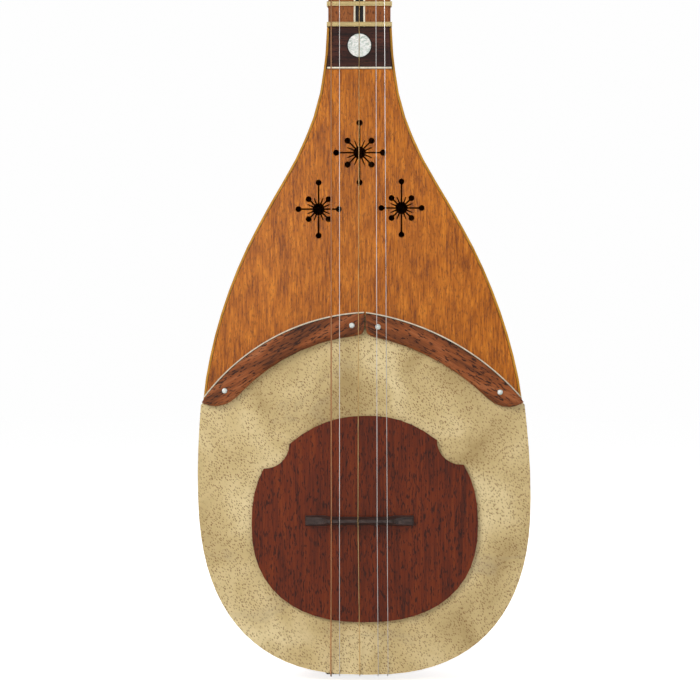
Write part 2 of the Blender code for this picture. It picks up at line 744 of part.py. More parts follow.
def make_brace():
    """The bar inside the bowl that carries the joint of wood and skin."""
    inset = RIB_THICKNESS + 3 * GAP
    outline = []
    for offset, order in ((0, 1), (BRACE_WIDTH, -1)):
        left, right = (arch_arc(side, offset, inset, 8) for side in (-1, 1))
        outline += (left[::-1] + right[1:])[::order]
    face_plate("arch_brace", [outline], RIM, BRACE_DEPTH, "lining_wood")


def strip_length(side):
    """Length of an arch strip along its upper edge."""
    start, end = arch_angles(side, 0, -0.6 * SKIN_STAND, ARCH_JOINT_GAP)
    return abs(end - start) * ARCH_RADIUS[side]


def strip_angle(side, offset, share):
    """The angle at this share of a strip's length, at this distance inside its upper edge."""
    _, end = arch_angles(side, 0, -0.6 * SKIN_STAND, ARCH_JOINT_GAP)
    start, _ = arch_angles(side, offset, 0, ARCH_JOINT_GAP)
    return start + (end - start) * share


def strip_width(travel, length):
    """Width of an arch strip at this distance from the joint, with its ends rounded."""
    left_over = length - travel
    width = ARCH_WIDTH + (ARCH_FOOT_WIDTH - ARCH_WIDTH) * travel / length
    if left_over < ARCH_FOOT_ROUND:
        back = 1 - left_over / ARCH_FOOT_ROUND
        width *= math.sqrt(max(0.01, 1 - back * back))
    if travel < ARCH_JOINT_ROUND:
        back = ARCH_JOINT_ROUND - travel
        width -= ARCH_JOINT_ROUND - math.sqrt(ARCH_JOINT_ROUND ** 2 - back ** 2)
    return width


def strip_height(left_over, share):
    """Height of a strip's face at this share of its width, rounded over its lower edge."""
    height = ARCH_THICKNESS
    if share > ARCH_FLAT_SHARE:
        over = (share - ARCH_FLAT_SHARE) / (1 - ARCH_FLAT_SHARE)
        drop = 1 - math.sqrt(max(0, 1 - over * over))
        height -= (ARCH_THICKNESS - ARCH_EDGE_THICKNESS) * drop
    if left_over < ARCH_WIDTH / 2:
        back = 1 - left_over / (ARCH_WIDTH / 2)
        height *= 1 - 0.6 * (1 - math.sqrt(max(0, 1 - back * back)))
    return height


def make_arch():
    """The two rosewood strips over the joint, each held by two pins."""
    across = (0, ARCH_FLAT_SHARE, 0.82, 0.92, 0.98, 1)
    under_side = SKIN_FRONT - GAP
    for side, name in ((-1, "bass"), (1, "treble")):
        length = strip_length(side)
        straight = length - ARCH_JOINT_ROUND - ARCH_FOOT_ROUND
        stops = [0, 0.6 * MM, 1.6 * MM, ARCH_JOINT_ROUND]
        stops += [ARCH_JOINT_ROUND + straight * step / 7 for step in range(1, 8)]
        stops += [length - ARCH_FOOT_ROUND * rest for rest in (0.65, 0.4, 0.2, 0.07, 0)]
        face = []
        under = []
        for travel in stops:
            width = strip_width(travel, length)
            face.append([])
            under.append([])
            for share in across:
                angle = strip_angle(side, width * share, travel / length)
                x, z = arch_point(side, width * share, angle)
                face[-1].append((x, under_side - strip_height(length - travel, share), z))
                under[-1].append((x, under_side, z))
        strip = slab(f"arch_{name}", face, under, "arch_rosewood")
        for place_name, travel in (("joint", ARCH_JOINT_PIN), ("foot", length - ARCH_FOOT_PIN)):
            angle = strip_angle(side, ARCH_PIN_OFFSET, travel / length)
            x, z = arch_point(side, ARCH_PIN_OFFSET, angle)
            centre = (x, under_side - ARCH_THICKNESS / 2, z)
            reach = PIN_RADIUS + PIN_CLEARANCE
            hole = round_cutter(
                f"pin_hole_{name}_{place_name}", centre, "Y", reach, reach, 3 * ARCH_THICKNESS, 12
            )
            cut(strip, hole)
            make_pin(f"arch_pin_{name}_{place_name}", x, z, under_side)


def make_pin(name, x, z, back):
    """A round-headed pin standing in an arch strip."""
    length = ARCH_THICKNESS + PIN_STAND
    profile = [(0, length), (PIN_RADIUS * 0.6, length - PIN_STAND * 0.25), (PIN_RADIUS, length - PIN_STAND)]
    profile += [(PIN_RADIUS, 0), (0, 0)]
    pin = turned(name, profile, 12, "pearl")
    pin.rotation_euler = (QUARTER_TURN, 0, 0)
    pin.location = (x, back, z)


def turned(name, profile, steps, finish):
    """A round piece from its (radius, height) profile, top to bottom, about its own Z axis."""
    shape = bmesh.new()
    points = [shape.verts.new((radius, 0, height)) for radius, height in profile]
    for point, after in zip(points, points[1:]):
        shape.edges.new((point, after))
    mesh = bpy.data.meshes.new(name)
    shape.to_mesh(mesh)
    shape.free()
    made = place(name, mesh, finish)
    screw = made.modifiers.new("turning", "SCREW")
    screw.steps = steps
    screw.render_steps = steps
    screw.use_merge_vertices = True
    screw.merge_threshold = 1e-6
    screw.use_smooth_shade = True
    return made


def make_plate():
    """The plate on the skin, with a notch at each upper corner."""
    drop = BODY_LENGTH - BRIDGE_TO_TAIL + PLATE_DROP
    centre_x = middle(drop)
    centre_z = BODY_TOP - drop
    flanks = {}
    notches = {}
    for side in (-1, 1):
        across, up = PLATE_NOTCHES[side]
        low = up - PLATE_NOTCH_RADIUS
        turn = math.asin((low / PLATE_FLANK_RISE) ** (PLATE_POWER / 2))
        flank = []
        for index in range(-12, 5):
            if index < 0:
                angle = QUARTER_TURN * index / 12
                rise = PLATE_BELOW
            else:
                angle = turn * index / 4
                rise = PLATE_FLANK_RISE
            x = PLATE_HALF_WIDTH * max(0, math.cos(angle)) ** (2 / PLATE_POWER)
            z = rise * math.copysign(abs(math.sin(angle)) ** (2 / PLATE_POWER), angle)
            flank.append((centre_x + side * x, centre_z + z))
        notch = []
        for index in range(1, 8):
            angle = -QUARTER_TURN + QUARTER_TURN * index / 7
            x = across - PLATE_NOTCH_RADIUS * math.cos(angle)
            z = up + PLATE_NOTCH_RADIUS * math.sin(angle)
            notch.append((centre_x + side * x, centre_z + z))
        flanks[side] = flank
        notches[side] = notch
    left = notches[-1][-1]
    right = notches[1][-1]
    crown = []
    for index in range(1, 12):
        t = index / 12
        bow = 1 - abs(2 * t - 1) ** 2.3
        base = left[1] + (right[1] - left[1]) * t
        x = left[0] + (right[0] - left[0]) * t
        crown.append((x, base + (centre_z + PLATE_ABOVE - (left[1] + right[1]) / 2) * bow))
    outline = flanks[-1] + notches[-1] + crown + notches[1][::-1] + flanks[1][::-1][:-1]
    front = PLATE_FRONT
    face_plate("bridge_plate", [outline], front, PLATE_THICKNESS, "plate_wood")


def string_sizes():
    """Every string with its x at the nut worked out."""
    x = -NECK_HALF_WIDTH + BASS_MARGIN
    for name, radius, step, bridge_x, tail_x, peg_x, finish in STRINGS:
        x += step
        yield name, radius, x, bridge_x, tail_x, peg_x, finish


def make_bridge():
    """The bridge: two pads joined by a raised crest that thins to a ridge."""
    height = BRIDGE_HEIGHT
    half = [
        (0, height),
        (BRIDGE_CREST_HALF_LENGTH - 2 * MM, height),
        (BRIDGE_CREST_HALF_LENGTH, height - 0.7 * MM),
        (BRIDGE_CREST_HALF_LENGTH + 2.6 * MM, BRIDGE_PAD_HEIGHT + 1.8 * MM),
        (BRIDGE_HALF_LENGTH - BRIDGE_PAD_LENGTH, BRIDGE_PAD_HEIGHT + 0.2 * MM),
        (BRIDGE_HALF_LENGTH - 0.8 * MM, BRIDGE_PAD_HEIGHT),
        (BRIDGE_HALF_LENGTH, BRIDGE_PAD_HEIGHT - 0.8 * MM),
        (BRIDGE_HALF_LENGTH, 0),
        (BRIDGE_ARCH_HALF_LENGTH, 0),
        (BRIDGE_ARCH_HALF_LENGTH - 2.5 * MM, BRIDGE_ARCH_HEIGHT * 0.8),
        (BRIDGE_ARCH_HALF_LENGTH * 0.6, BRIDGE_ARCH_HEIGHT),
        (0, BRIDGE_ARCH_HEIGHT),
    ]
    outline = half + [(-x, up) for x, up in half[::-1][1:-1]]
    bridge = as_mesh(
        flat_curve("bridge", [outline], 2 * BRIDGE_FOOT_HALF_WIDTH, "bridge_wood")
    )
    for vertex in bridge.data.vertices:
        share = vertex.co.y / height
        narrow = 1 + (BRIDGE_CREST_HALF_WIDTH / BRIDGE_FOOT_HALF_WIDTH - 1) * share
        vertex.co = (vertex.co.x, BRIDGE_FEET - vertex.co.y, vertex.co.z * narrow - SCALE_LENGTH)
    bridge.data.flip_normals()
    for name, radius, _, bridge_x, _, _, _ in string_sizes():
        centre = (bridge_x, BRIDGE_CREST, -SCALE_LENGTH)
        reach = radius + GAP
        cut(bridge, round_cutter(f"bridge_groove_{name}", centre, "Z", reach, reach, 8 * MM, 8))


def make_nut():
    """The nut, with a groove for each string."""
    shape = bmesh.new()
    bmesh.ops.create_cube(shape, size=1)
    size = Vector((2 * NECK_HALF_WIDTH, NUT_CREST + FINGERBOARD_THICKNESS, NUT_LENGTH))
    centre = Vector((0, (FINGERBOARD_THICKNESS - NUT_CREST) / 2, NUT_LENGTH / 2))
    for vertex in shape.verts:
        vertex.co = centre + vertex.co * size
    nut = from_bmesh("nut", shape, "bone")
    bevel = nut.modifiers.new("rounding", "BEVEL")
    bevel.width = NUT_ROUNDING
    bevel.segments = 1
    for name, radius, nut_x, _, _, _, _ in string_sizes():
        reach = radius + GAP
        centre = (nut_x, -NUT_CREST, NUT_LENGTH / 2)
        cut(nut, round_cutter(f"nut_groove_{name}", centre, "Z", reach, reach, 3 * NUT_LENGTH, 8))


def make_neck():
    """The neck with its fingerboard, in three strips."""
    low = BODY_TOP + GAP
    loft(
        "neck",
        [section(level, NECK_HALF_WIDTH, NECK_DEPTH) for level in (low, NECK_TOP)],
        "neck_wood",
    )
    inner = CENTRE_STRIP_HALF_WIDTH + INLAY_LINE_WIDTH
    strips = (
        ("fingerboard_bass", -NECK_HALF_WIDTH, -inner, "fingerboard_wood"),
        ("fingerboard_centre", -CENTRE_STRIP_HALF_WIDTH, CENTRE_STRIP_HALF_WIDTH, "ebony"),
        ("fingerboard_treble", inner, NECK_HALF_WIDTH, "fingerboard_wood"),
    )
    for name, left, right, finish in strips:
        outline = [(left, low), (right, low), (right, -GAP), (left, -GAP)]
        face_plate(name, [outline], 0, FINGERBOARD_THICKNESS, finish)


def fret_levels():
    """Heights of the frets that fit on the neck."""
    lowest = BODY_TOP + FRET_BAND / 2 + GAP
    levels = [-SCALE_LENGTH * (1 - 2 ** (-cents / OCTAVE_CENTS)) for cents in FRET_CENTS]
    return [level for level in levels if level > lowest]


def fret_outline(grow):
    """The outline round the neck and fingerboard, grown by this much."""
    width = NECK_HALF_WIDTH + grow
    points = [(x, y) for x, y, _ in section(0, width, NECK_DEPTH + grow, facets=14)]
    return [(-width, -grow)] + points + [(width, -grow)]


def make_frets():
    """The frets: bands of gut tied round the neck, each free to slide along it."""
    inside = fret_outline(FRET_CLEARANCE)
    outside = fret_outline(FRET_CLEARANCE + FRET_THICKNESS)
    for number, level in enumerate(fret_levels(), 1):
        fret = flat_curve(f"fret_{number:02d}", [outside, inside], FRET_BAND, "gut")
        fret.location = (0, 0, level)


def peg_places():
    """(height, side of the handle) of each peg, counted from the nut."""
    places = []
    for number in range(PEG_COUNT):
        level = PEGBOX_BOTTOM + PEG_FIRST + PEG_SPACING * number
        places.append((level, -1 if number % 2 == 0 else 1))
    return places


def cheek(level):
    """Half width of the pegbox at this height, where the pegs pass through it."""
    share = (level - PEGBOX_BOTTOM) / PEGBOX_LENGTH
    width = NECK_HALF_WIDTH + (PEGBOX_TOP_HALF_WIDTH - NECK_HALF_WIDTH) * share * share
    depth = NECK_DEPTH + (PEGBOX_TOP_DEPTH - NECK_DEPTH) * share
    return width, depth


def make_pegbox():
    """The open pegbox, with a slot in its front and a tapered bore for each peg."""
    top = PEGBOX_BOTTOM + PEGBOX_LENGTH
    stops = (0, 0.04, 0.1, 0.3, 0.5, 0.7, 0.88)
    sections = []
    for share in stops:
        level = PEGBOX_BOTTOM + PEGBOX_LENGTH * share
        width, depth = cheek(level)
        power = 2 + (PEGBOX_POWER - 2) * min(1, share / stops[2])
        sections.append(section(level, width, depth, power))
    width, depth = cheek(top)
    sections.append(section(top - 7 * MM, width, depth, PEGBOX_POWER))
    sections.append(section(top - 2 * MM, width * 0.85, depth * 0.9, PEGBOX_POWER))
    sections.append(section(top, width * 0.6, depth * 0.75, PEGBOX_POWER))
    pegbox = loft("pegbox", sections, "neck_wood")
    slot = box_cutter(
        "slot",
        (-SLOT_HALF_WIDTH, NECK_FRONT - SLOT_DEPTH, PEGBOX_BOTTOM + SLOT_MARGIN),
        (SLOT_HALF_WIDTH, NECK_FRONT + SLOT_DEPTH, top - SLOT_MARGIN - 6 * MM),
    )
    cut(pegbox, slot)
    for number, (level, side) in enumerate(peg_places(), 1):
        width, _ = cheek(level)
        reach = 2 * width
        low, high = PEG_TIP_RADIUS + GAP, PEG_NECK_RADIUS + GAP
        spread = (high - low) * (reach - width) / (2 * width)
        low, high = low - spread, high + spread
        if side < 0:
            low, high = high, low
        bore = round_cutter(
            f"peg_bore_{number}", (0, PEG_AXIS, level), "X", low, high, 2 * reach, 20
        )
        cut(pegbox, bore)
        make_peg(number, level, side, width)


def make_peg(number, level, side, width):
    """A tapered peg through both cheeks, with a turned handle outside one of them."""
    collar = width + PEG_COLLAR_GAP
    profile = [(0, collar + PEG_HANDLE_LENGTH)]
    profile += [
        (radius, collar + share * PEG_HANDLE_LENGTH) for share, radius in reversed(PEG_HANDLE)
    ]
    profile += [
        (PEG_NECK_RADIUS, width),
        (PEG_TIP_RADIUS, -width),
        (PEG_TIP_RADIUS - 0.4 * MM, -width - PEG_TIP_STAND),
        (0, -width - PEG_TIP_STAND),
    ]
    peg = turned(f"peg_{number}", profile, 20, "peg_wood")
    peg.rotation_euler = (0, side * QUARTER_TURN, 0)
    peg.location = (0, PEG_AXIS, level)


def tail_edge(x):
    """Height of the wooden outline's lower edge at this x."""
    across = abs(x - TAIL_DRIFT) / BODY_HALF_WIDTH
    return BODY_TOP - BODY_WIDEST - TAIL_DEPTH * (1 - across ** TAIL_POWER) ** (1 / TAIL_POWER)


def tailpiece_levels():
    """(front depth, height of the tailpiece's inner face)."""
    front = RIM + SKIN_SKIRT + TAILPIECE_BELOW_SKIRT
    return front, tail_edge(TAIL_DRIFT) - GAP


def make_tailpiece():
    """The comb behind the tail's edge that the strings' loops hook on."""
    front, top = tailpiece_levels()
    back = front + TAILPIECE_HEIGHT
    outline = [
        (-TAILPIECE_HALF_WIDTH, back),
        (-TAILPIECE_HALF_WIDTH + 2 * MM, front),
        (TAILPIECE_HALF_WIDTH - 2 * MM, front),
        (TAILPIECE_HALF_WIDTH, back),
    ]
    for _, radius, _, _, tail_x, _, _ in reversed(list(string_sizes())):
        half = radius + TAILPIECE_SLOT_CLEARANCE
        outline += [
            (tail_x + half, back),
            (tail_x + half, back - TAILPIECE_SLOT_DEPTH),
            (tail_x - half, back - TAILPIECE_SLOT_DEPTH),
            (tail_x - half, back),
        ]
    comb = flat_curve("tailpiece", [outline], TAILPIECE_THICKNESS, "bone")
    comb.location = (0, 0, top - TAILPIECE_THICKNESS / 2)


def make_strings():
    """The strings, from their pegs over the nut and the bridge and round the tail's edge."""
    front, inner_face = tailpiece_levels()
    outer_face = inner_face - TAILPIECE_THICKNESS
    pegs = peg_places()
    for index, (name, radius, nut_x, bridge_x, tail_x, peg_x, finish) in enumerate(string_sizes()):
        level, _ = pegs[STRING_PEGS[index]]
        stand = radius + GAP
        edge = tail_edge(tail_x) - SKIN_STAND
        slot_end = front + TAILPIECE_HEIGHT - TAILPIECE_SLOT_DEPTH
        points = [
            (peg_x, PEG_AXIS - PEG_NECK_RADIUS - stand, level),
            (nut_x, -NUT_CREST, NUT_LENGTH),
            (nut_x, -NUT_CREST, 0),
            (bridge_x, BRIDGE_CREST, -SCALE_LENGTH),
            (tail_x, SKIN_FRONT - stand * 1.1, edge + stand),
            (tail_x, SKIN_FRONT - stand * 0.7, edge - stand * 0.7),
            (tail_x, SKIN_FRONT + stand, edge - stand * 1.2),
            (tail_x, front - 2 * MM, outer_face - stand * 1.3),
            (tail_x, slot_end + radius, outer_face - stand * 1.3),
            (tail_x, slot_end + stand + radius, outer_face),
            (tail_x, slot_end + stand + radius, inner_face - 1 * MM),
        ]
        tube(name, points, radius, finish)


make_ribs()
make_blocks()
make_soundboard()
make_edge_strips()
make_panel()
make_skin()
make_skin_rim()
make_brace()
make_arch()
make_plate()
make_bridge()
make_nut()
make_neck()
make_frets()
make_pegbox()
make_tailpiece()
make_strings()
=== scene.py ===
"""The shurangiz dressed for a studio picture: woods, skin, gut, pearl and its fine trim."""

import json
import math

import bmesh
import bpy
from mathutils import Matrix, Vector


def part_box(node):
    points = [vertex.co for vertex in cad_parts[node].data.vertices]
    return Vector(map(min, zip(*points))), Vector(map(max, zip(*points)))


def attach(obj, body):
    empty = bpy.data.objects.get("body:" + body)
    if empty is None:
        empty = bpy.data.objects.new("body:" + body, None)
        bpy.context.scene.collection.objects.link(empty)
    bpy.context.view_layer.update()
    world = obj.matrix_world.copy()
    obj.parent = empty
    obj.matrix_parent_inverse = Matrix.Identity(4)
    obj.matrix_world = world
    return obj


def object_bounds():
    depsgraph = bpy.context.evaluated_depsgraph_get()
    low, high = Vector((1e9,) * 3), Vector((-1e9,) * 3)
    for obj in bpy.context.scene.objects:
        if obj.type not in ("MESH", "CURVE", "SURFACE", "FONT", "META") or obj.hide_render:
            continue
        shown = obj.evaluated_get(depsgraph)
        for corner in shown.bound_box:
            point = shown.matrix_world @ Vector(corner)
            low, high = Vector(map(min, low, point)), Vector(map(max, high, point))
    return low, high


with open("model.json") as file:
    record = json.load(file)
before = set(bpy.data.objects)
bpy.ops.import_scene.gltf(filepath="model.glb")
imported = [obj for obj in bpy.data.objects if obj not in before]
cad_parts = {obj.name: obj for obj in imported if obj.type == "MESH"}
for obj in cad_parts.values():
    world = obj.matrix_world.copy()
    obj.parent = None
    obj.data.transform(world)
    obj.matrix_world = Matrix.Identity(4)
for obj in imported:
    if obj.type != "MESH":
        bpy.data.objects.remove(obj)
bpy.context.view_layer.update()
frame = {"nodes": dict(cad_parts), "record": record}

MM = 0.001
BODY = "lute"

# The photograph is square, and it shows the face's plane at this scale
PHOTO_SIDE_PX = 700
PHOTO_SCALE = 0.61 * MM             # per pixel
PHOTO_MIDDLE_PX = (359.4, -594.4)   # pixel of the neck's middle line, and of the nut's edge
LENS = 135
SENSOR = 36
CLIP_END = 20

# The room
WHITE = (1, 1, 1, 1)
BACKGROUND = 0.99                   # whiteness of what the camera sees behind the object
WORLD_LIGHT = 0.2                   # how strongly the surroundings light the object
FLOOR_COLOUR = (0.92, 0.92, 0.92, 1)
FLOOR_ROUGHNESS = 0.9
FLOOR_GLOW = 0.8                    # whitens the floor for the camera, and lights nothing
FLOOR_HALF_SIDE = 6
FLOOR_GAP = 0.5 * MM                # under the object's lowest point
# Lamps: name, place, side and power in watts
LAMPS = (
    ("key", (-1.1, -1.0, 0.35), 0.9, 24),
    ("fill", (1.3, -1.0, -0.3), 1.2, 8),
    ("sheen", (-0.22, -2.3, -0.34), 0.25, 2.2),
    ("back", (0.3, 1.6, 0.6), 1.4, 9),
)
LAMP_AIM = (0, 0, -0.55)            # a point of the body's face

# Sockets of a colour mix: factor, first and second colour, and the result
MIX_FACTOR, MIX_FIRST, MIX_SECOND = 0, 6, 7
MIX_RESULT = 2

# Finishes
FIGURE_ACROSS = 0.14                # rate of a wood's broad figure against that of its fibres
FIGURE_ALONG = 0.5
FIBRE_RELIEF = 0.4
PORE_RELIEF = 0.6
PORE_FINENESS = 1 / (0.8 * MM)      # pores across the grain, per metre
COAT_SHARE = 0.4                    # of the varnish that a finish names
COAT_ROUGHNESS = 0.25
GLOSS_LEVEL = 0.25
SHARP_EDGE = math.radians(40)       # edges that turn more than this aren't smoothed
PORE_EDGE = (0.55, 0.64)            # noise at which a pore begins, and is full
PORE_SHADE = 0.25                   # a pore's colour, as a share of the darkest wood's
HAIR_SPACING = (0.85 * MM, 1.2 * MM, 1.9 * MM)  # between hair roots: across, deep and up
HAIR_SLANT = math.radians(38)
HAIR_STRENGTH = 0.85
HAIR_RELIEF = 0.6
HAIR_COLOUR = (0.19, 0.085, 0.025)
SMUDGE_STRENGTH = 0.4
SMUDGE_COLOUR = (0.30, 0.24, 0.17)
WAVE_RATE = 20                      # radians that a wave of scale 1 turns through in a metre
ARCH_GRAIN_SLANT = math.radians(62)
ACROSS_GRAIN = (0, math.pi / 2, 0)  # turns the grain level

# Places in the object's frame: X = 0 is the neck's middle, Y = 0 the face, Z = 0 the nut
INLAY_FROM = 2.4 * MM               # from the neck's middle line to a pale line's inner edge
INLAY_TO = 3.5 * MM
INLAY_FRONT = -0.05 * MM
INLAY_BACK = 2.8 * MM
PANEL_SEAM = (-404.3 * MM, -403.25 * MM)    # the pale line between panel and soundboard
PANEL_SEAM_HALF_WIDTH = 19.7 * MM
PANEL_SEAM_FRONT = 0.1 * MM
PANEL_SEAM_BACK = 3.5 * MM
PEARL_LEVEL = -390.2 * MM
PEARL_RADIUS = 7.3 * MM
# The dark ring round the pearl stands for its glue gap, together with painted shade at the
# pearl's edge
PEARL_RING_GROWTH = 0.1 * MM
PEARL_RING_WIDTH = 0.7 * MM
# Section of the ring round the pearl: corners across and deep, in half widths
PEARL_RING_SECTION = ((-1, 0.3), (-0.6, -0.5), (0.6, -0.5), (1, 0.3))
PURFLING_BACK = 1.05 * MM
# Lines along an arch strip: distance outside its upper edge, width, front
DARK_PURFLING = (0.05 * MM, 0.35 * MM, 0.62 * MM)
PALE_PURFLING = (0.42 * MM, 0.75 * MM, 0.55 * MM)
# Circles of the arch strips' upper edges: centre (x, z), radius, first and last angle
ARCHES = {
    "bass": ((8.981 * MM, -682.779 * MM), 129 * MM, 1.6177, 2.497),
    "treble": ((-19.223 * MM, -708.253 * MM), 156 * MM, 1.4225, 0.719),
}


class Look:
    """A Principled material that is put together node by node."""

    def __init__(self, name, roughness, metallic=0.0, coat=0.0):
        self.material = bpy.data.materials.new(name)
        self.material.use_nodes = True
        self.tree = self.material.node_tree
        self.shader = self.tree.nodes["Principled BSDF"]
        self.shader.inputs["Roughness"].default_value = roughness
        self.shader.inputs["Metallic"].default_value = metallic
        self.shader.inputs["Coat Weight"].default_value = coat * COAT_SHARE
        self.shader.inputs["Coat Roughness"].default_value = COAT_ROUGHNESS
        self.shader.inputs["Specular IOR Level"].default_value = GLOSS_LEVEL

    def add(self, kind, **values):
        """A node of this kind with its properties set."""
        node = self.tree.nodes.new("ShaderNode" + kind)
        for name, value in values.items():
            setattr(node, name, value)
        return node

    def link(self, source, target):
        """Joins an output to an input."""
        self.tree.links.new(source, target)

    def place(self, scale, turn=(0, 0, 0)):
        """Coordinates in the object's frame, turned and then scaled."""
        coordinates = self.add("TexCoord")
        turned = self.add("Mapping", vector_type="POINT")
        turned.inputs["Rotation"].default_value = turn
        scaled = self.add("Mapping", vector_type="POINT")
        scaled.inputs["Scale"].default_value = scale
        self.link(coordinates.outputs["Object"], turned.inputs["Vector"])
        self.link(turned.outputs["Vector"], scaled.inputs["Vector"])
        return scaled.outputs["Vector"]

    def noise(self, vector, scale=1.0, detail=3.0, distortion=0.0, roughness=0.5):
        """A noise value over these coordinates."""
        node = self.add("TexNoise")
        node.inputs["Scale"].default_value = scale
        node.inputs["Detail"].default_value = detail
        node.inputs["Distortion"].default_value = distortion
        node.inputs["Roughness"].default_value = roughness
        self.link(vector, node.inputs["Vector"])
        return node.outputs["Fac"]

    def ramp(self, value, stops):
        """Colours along a value; stops are (place, colour)."""
        node = self.add("ValToRGB")
        elements = node.color_ramp.elements
        while len(elements) < len(stops):
            elements.new(0.5)
        for element, (at, colour) in zip(elements, stops):
            element.position = at
            element.color = (*colour, 1)
        self.link(value, node.inputs["Fac"])
        return node.outputs["Color"]

    def fade(self, value, low, high):
        """0 below low, 1 above high."""
        node = self.add("MapRange")
        node.inputs["From Min"].default_value = low
        node.inputs["From Max"].default_value = high
        self.link(value, node.inputs["Value"])
        return node.outputs["Result"]

    def math(self, operation, first, second):
        """Arithmetic on two values, the second a socket or a number."""
        node = self.add("Math", operation=operation)
        self.link(first, node.inputs[0])
        if isinstance(second, (int, float)):
            node.inputs[1].default_value = second
        else:
            self.link(second, node.inputs[1])
        return node.outputs["Value"]

    def mix(self, factor, first, second):
        """Two colours mixed by a factor; each may be a socket or a colour."""
        node = self.add("Mix", data_type="RGBA")
        self.link(factor, node.inputs[MIX_FACTOR])
        for socket, value in ((MIX_FIRST, first), (MIX_SECOND, second)):
            if isinstance(value, tuple):
                node.inputs[socket].default_value = (*value, 1)
            else:
                self.link(value, node.inputs[socket])
        return node.outputs[MIX_RESULT]

    def colour(self, socket):
        """The surface's colour."""
        self.link(socket, self.shader.inputs["Base Color"])

    def relief(self, value, depth, strength):
        """Bumps that follow a value."""
        node = self.add("Bump")
        node.inputs["Distance"].default_value = depth
        node.inputs["Strength"].default_value = strength
        self.link(value, node.inputs["Height"])
        self.link(node.outputs["Normal"], self.shader.inputs["Normal"])

    def rough(self, value, low, high):
        """Roughness that goes from low to high with a value."""
        node = self.add("MapRange")
        node.inputs["To Min"].default_value = low
        node.inputs["To Max"].default_value = high
        self.link(value, node.inputs["Value"])
        self.link(node.outputs["Result"], self.shader.inputs["Roughness"])


def wood(name, dark, middle, light, roughness, turn=(0, 0, 0), across=1.6 * MM, along=45 * MM,
         pores=0.5, pore_length=3 * MM, coat=0.0, figure=0.5, spread=0.16, depth=0.12 * MM):
    """Wood with its grain along the turned Z axis: broad figure, fine fibres and dark pores."""
    look = Look(name, roughness, coat=coat)
    broad_rate = (FIGURE_ACROSS / across, FIGURE_ACROSS / across, FIGURE_ALONG / along)
    broadly = look.place(broad_rate, turn)
    broad = look.noise(broadly, detail=4, distortion=0.8)
    closely = look.place((1 / across, 1 / across, 1 / along), turn)
    fibre = look.noise(closely, detail=5, distortion=0.3, roughness=0.6)
    fine = look.math("MULTIPLY", fibre, 1 - figure)
    tone = look.math("ADD", look.math("MULTIPLY", broad, figure), fine)
    body = look.ramp(tone, [(0.5 - spread, dark), (0.5, middle), (0.5 + spread, light)])
    finely = look.place((PORE_FINENESS, PORE_FINENESS, 1 / pore_length), turn)
    pore = look.fade(look.noise(finely, detail=2), *PORE_EDGE)
    shade = tuple(value * PORE_SHADE for value in dark)
    look.colour(look.mix(look.math("MULTIPLY", pore, pores), body, shade))
    pits = look.math("MULTIPLY", pore, PORE_RELIEF)
    height = look.math("SUBTRACT", look.math("MULTIPLY", fibre, FIBRE_RELIEF), pits)
    look.relief(height, depth, strength=0.6)
    look.rough(tone, low=roughness - 0.07, high=roughness + 0.09)
    return look.material


def goat_skin():
    """Cream skin with short slanted brown hair roots, cloudy, with some grey-brown smudges."""
    look = Look("skin", 0.55, coat=0.12)
    clouds = look.noise(look.place((22, 22, 22)), detail=4, distortion=0.6)
    base = look.ramp(clouds, [
        (0.3, (0.42, 0.30, 0.125)),
        (0.5, (0.59, 0.45, 0.215)),
        (0.7, (0.76, 0.62, 0.345)),
    ])
    wander = look.noise(look.place((60, 60, 60)), detail=2, distortion=2.2)
    roots = look.add("TexVoronoi", feature="F1")
    roots.inputs["Scale"].default_value = 1.0
    roots.inputs["Randomness"].default_value = 1.0
    vector = look.place(tuple(1 / spacing for spacing in HAIR_SPACING), (0, HAIR_SLANT, 0))
    shift = look.add("VectorMath", operation="ADD")
    look.link(vector, shift.inputs[0])
    look.link(wander, shift.inputs[1])
    look.link(shift.outputs["Vector"], roots.inputs["Vector"])
    dash = look.fade(roots.outputs["Distance"], low=0.42, high=0.2)
    patches = look.noise(look.place((45, 45, 45)), detail=3, distortion=0.5)
    patch = look.math("MULTIPLY", look.fade(patches, low=0.2, high=0.5), HAIR_STRENGTH)
    spotted = look.mix(look.math("MULTIPLY", dash, patch), base, HAIR_COLOUR)
    stains = look.noise(look.place((16, 16, 28)), detail=5, distortion=1.2, roughness=0.65)
    smudge = look.math("MULTIPLY", look.fade(stains, low=0.58, high=0.74), SMUDGE_STRENGTH)
    look.colour(look.mix(smudge, spotted, SMUDGE_COLOUR))
    height = look.math("SUBTRACT", clouds, look.math("MULTIPLY", dash, HAIR_RELIEF))
    look.relief(height, depth=0.25 * MM, strength=0.8)
    return look.material


def pearl_look():
    """Mother of pearl: pale patches of grey-green, pink and white."""
    look = Look("pearl", 0.18, coat=0.6)
    cells = look.add("TexVoronoi", feature="F1")
    cells.inputs["Scale"].default_value = 260
    coordinates = look.place((1, 1, 1.6))
    look.link(coordinates, cells.inputs["Vector"])
    band = look.noise(coordinates, scale=330, detail=4, distortion=1.8)
    patches = look.ramp(band, [(0.32, (0.36, 0.42, 0.38)), (0.45, (0.62, 0.66, 0.58)),
                               (0.55, (0.84, 0.80, 0.76)), (0.68, (0.93, 0.94, 0.90))])
    edge = look.fade(cells.outputs["Distance"], low=0.2, high=0.7)
    look.colour(look.mix(look.math("MULTIPLY", edge, 0.25), patches, (0.45, 0.55, 0.55)))
    look.relief(band, depth=0.05 * MM, strength=0.3)
    return look.material


